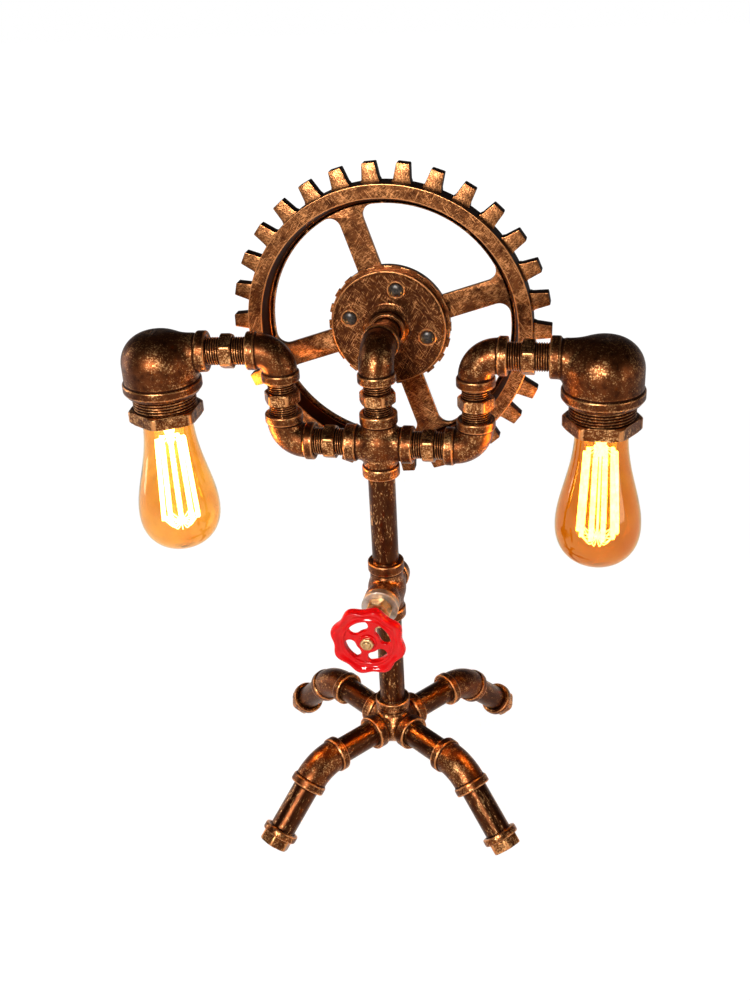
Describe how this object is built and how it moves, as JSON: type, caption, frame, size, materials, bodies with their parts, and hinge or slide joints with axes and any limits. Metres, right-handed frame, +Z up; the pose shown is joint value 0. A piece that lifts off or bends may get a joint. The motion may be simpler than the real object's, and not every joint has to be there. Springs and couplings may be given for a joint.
{
  "type": "industrial pipe table lamp",
  "caption": "Table lamp built from threaded pipe fittings, with a valve handwheel as its switch, a spoked gear wheel and swinging arms with hanging filament bulbs.",
  "frame": {"origin": "on the column's axis at the floor, under the middle of the base", "axes": "+Z up the column, -Y to the front with the handwheel, +X to the right-hand arm"},
  "size_m": [0.3977, 0.2336, 0.5254],
  "materials": {
    "fitting_bronze": "dark bronze paint dry-brushed with copper and gold, worn bright at the edges",
    "pipe_bronze": "dark bronze paint with copper streaks",
    "gear_bronze": "dark bronze with brushed copper highlights",
    "black_parts": "matt black",
    "zinc": "galvanised",
    "brass": "machined brass",
    "red_paint": "glossy red enamel",
    "lead_sheath": "flexible lead sheath",
    "amber_glass": "clear amber glass",
    "filament": "glowing wire on a glass mount"
  },
  "bodies": {
    "stand": {"base_cross": "fitting_bronze", "leg_stubs": "pipe_bronze", "leg_elbow_1": "fitting_bronze", "leg_elbow_2": "fitting_bronze", "leg_elbow_3": "fitting_bronze", "leg_elbow_4": "fitting_bronze", "leg_pipes": "pipe_bronze", "foot_cap_1": "fitting_bronze", "foot_cap_2": "fitting_bronze", "foot_cap_3": "fitting_bronze", "foot_cap_4": "fitting_bronze", "lower_pipe": "pipe_bronze", "valve_cross": "fitting_bronze", "upper_pipe": "pipe_bronze", "top_cross": "fitting_bronze", "riser_nipple": "fitting_bronze", "gear_elbow": "fitting_bronze", "flange_nipple": "fitting_bronze", "floor_flange": "fitting_bronze", "flange_screws": "black_parts", "flange_nuts": "zinc", "gear_wheel": "gear_bronze", "clamp_ring": "gear_bronze", "cross_nipple_left": "fitting_bronze", "cross_nipple_right": "fitting_bronze", "lower_elbow_left": "fitting_bronze", "lower_elbow_right": "fitting_bronze", "swing_nipple_left": "fitting_bronze", "swing_nipple_right": "fitting_bronze", "rotary_switch": "black_parts", "bonnet": "zinc", "valve_hexagon": "brass", "gland_nut": "brass", "cord_gland": "black_parts", "column_leads": "lead_sheath"},
    "left_arm": {"upper_elbow_left": "fitting_bronze", "head_nipple_left": "fitting_bronze", "arm_lead_left": "lead_sheath"},
    "left_head": {"reducing_elbow_left": "fitting_bronze", "hex_bushing_left": "fitting_bronze", "lampholder_left": "black_parts", "holder_contacts_left": "brass", "head_lead_left": "lead_sheath"},
    "left_bulb": {"bulb_glass_left": "amber_glass", "bulb_cap_left": "brass", "bulb_filament_left": "filament"},
    "right_arm": {"upper_elbow_right": "fitting_bronze", "head_nipple_right": "fitting_bronze", "arm_lead_right": "lead_sheath"},
    "right_head": {"reducing_elbow_right": "fitting_bronze", "hex_bushing_right": "fitting_bronze", "lampholder_right": "black_parts", "holder_contacts_right": "brass", "head_lead_right": "lead_sheath"},
    "right_bulb": {"bulb_glass_right": "amber_glass", "bulb_cap_right": "brass", "bulb_filament_right": "filament"},
    "wheel": {"valve_stem": "brass", "handwheel": "red_paint", "wheel_nut": "brass"}
  },
  "joints": [
    {"name": "handwheel_turn", "type": "hinge", "parent": "stand", "child": "wheel", "pos_m": [0, -0.0775, 0.19622], "axis": [0, -1, 0], "range_deg": [0, 270]},
    {"name": "left_arm_swing", "type": "hinge", "parent": "stand", "child": "left_arm", "pos_m": [-0.0743, 0, 0.39902], "axis": [0, 0, 1], "range_deg": [-15, 34]},
    {"name": "right_arm_swing", "type": "hinge", "parent": "stand", "child": "right_arm", "pos_m": [0.0743, 0, 0.39902], "axis": [0, 0, -1], "range_deg": [-10, 40]},
    {"name": "left_head_tilt", "type": "hinge", "parent": "left_arm", "child": "left_head", "pos_m": [-0.1128, -0.00391, 0.39902], "axis": [-0.9949, -0.1011, 0], "range_deg": [-45, 90]},
    {"name": "right_head_tilt", "type": "hinge", "parent": "right_arm", "child": "right_head", "pos_m": [0.113, 0, 0.39902], "axis": [-1, 0, 0], "range_deg": [-45, 90]},
    {"name": "left_bulb_release", "type": "slide", "parent": "left_head", "child": "left_bulb", "axis": [0, 0, -1], "range_m": [0, 0.03]},
    {"name": "right_bulb_release", "type": "slide", "parent": "right_head", "child": "right_bulb", "axis": [0, 0, -1], "range_m": [0, 0.03]}
  ]
}
